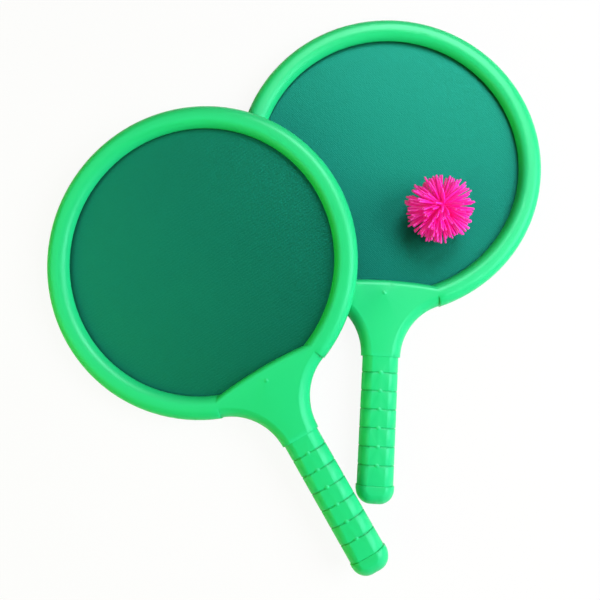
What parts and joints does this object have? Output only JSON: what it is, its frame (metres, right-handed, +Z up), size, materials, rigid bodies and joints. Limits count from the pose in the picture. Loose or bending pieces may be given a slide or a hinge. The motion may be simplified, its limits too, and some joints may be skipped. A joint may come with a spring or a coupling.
{
  "type": "paddle ball game",
  "caption": "Round-faced paddles with a stretched fabric face in a hollow plastic rim and a grooved straight handle, and a ball of soft rubber strands.",
  "frame": {"origin": "on the ground below the middle of the set's box", "axes": "+Z up, -Y towards the handles' ends, +X towards the flat-lying paddle"},
  "size_m": [0.3281, 0.3639, 0.0493],
  "materials": {
    "frame_plastic": "satin moulded plastic",
    "face_fabric": "tight stretch weave with a soft sheen",
    "hoop_plastic": "plain",
    "strand_rubber": "soft, slightly translucent"
  },
  "bodies": {
    "lower_paddle": {"lower_front_shell": "frame_plastic", "lower_rear_shell": "frame_plastic", "lower_fabric_face": "face_fabric", "lower_tension_hoop": "hoop_plastic", "lower_butt_cap": "frame_plastic"},
    "upper_paddle": {"upper_front_shell": "frame_plastic", "upper_rear_shell": "frame_plastic", "upper_fabric_face": "face_fabric", "upper_tension_hoop": "hoop_plastic", "upper_butt_cap": "frame_plastic"},
    "ball": {"ball_strands": "strand_rubber", "ball_band": "strand_rubber"}
  },
  "joints": [
    {"name": "upper_paddle_lift", "type": "slide", "parent": "lower_paddle", "child": "upper_paddle", "axis": [0, 0, 1], "range_m": [0, 0.25]},
    {"name": "ball_lift", "type": "slide", "parent": "lower_paddle", "child": "ball", "axis": [0, 0, 1], "range_m": [0, 0.3]}
  ]
}
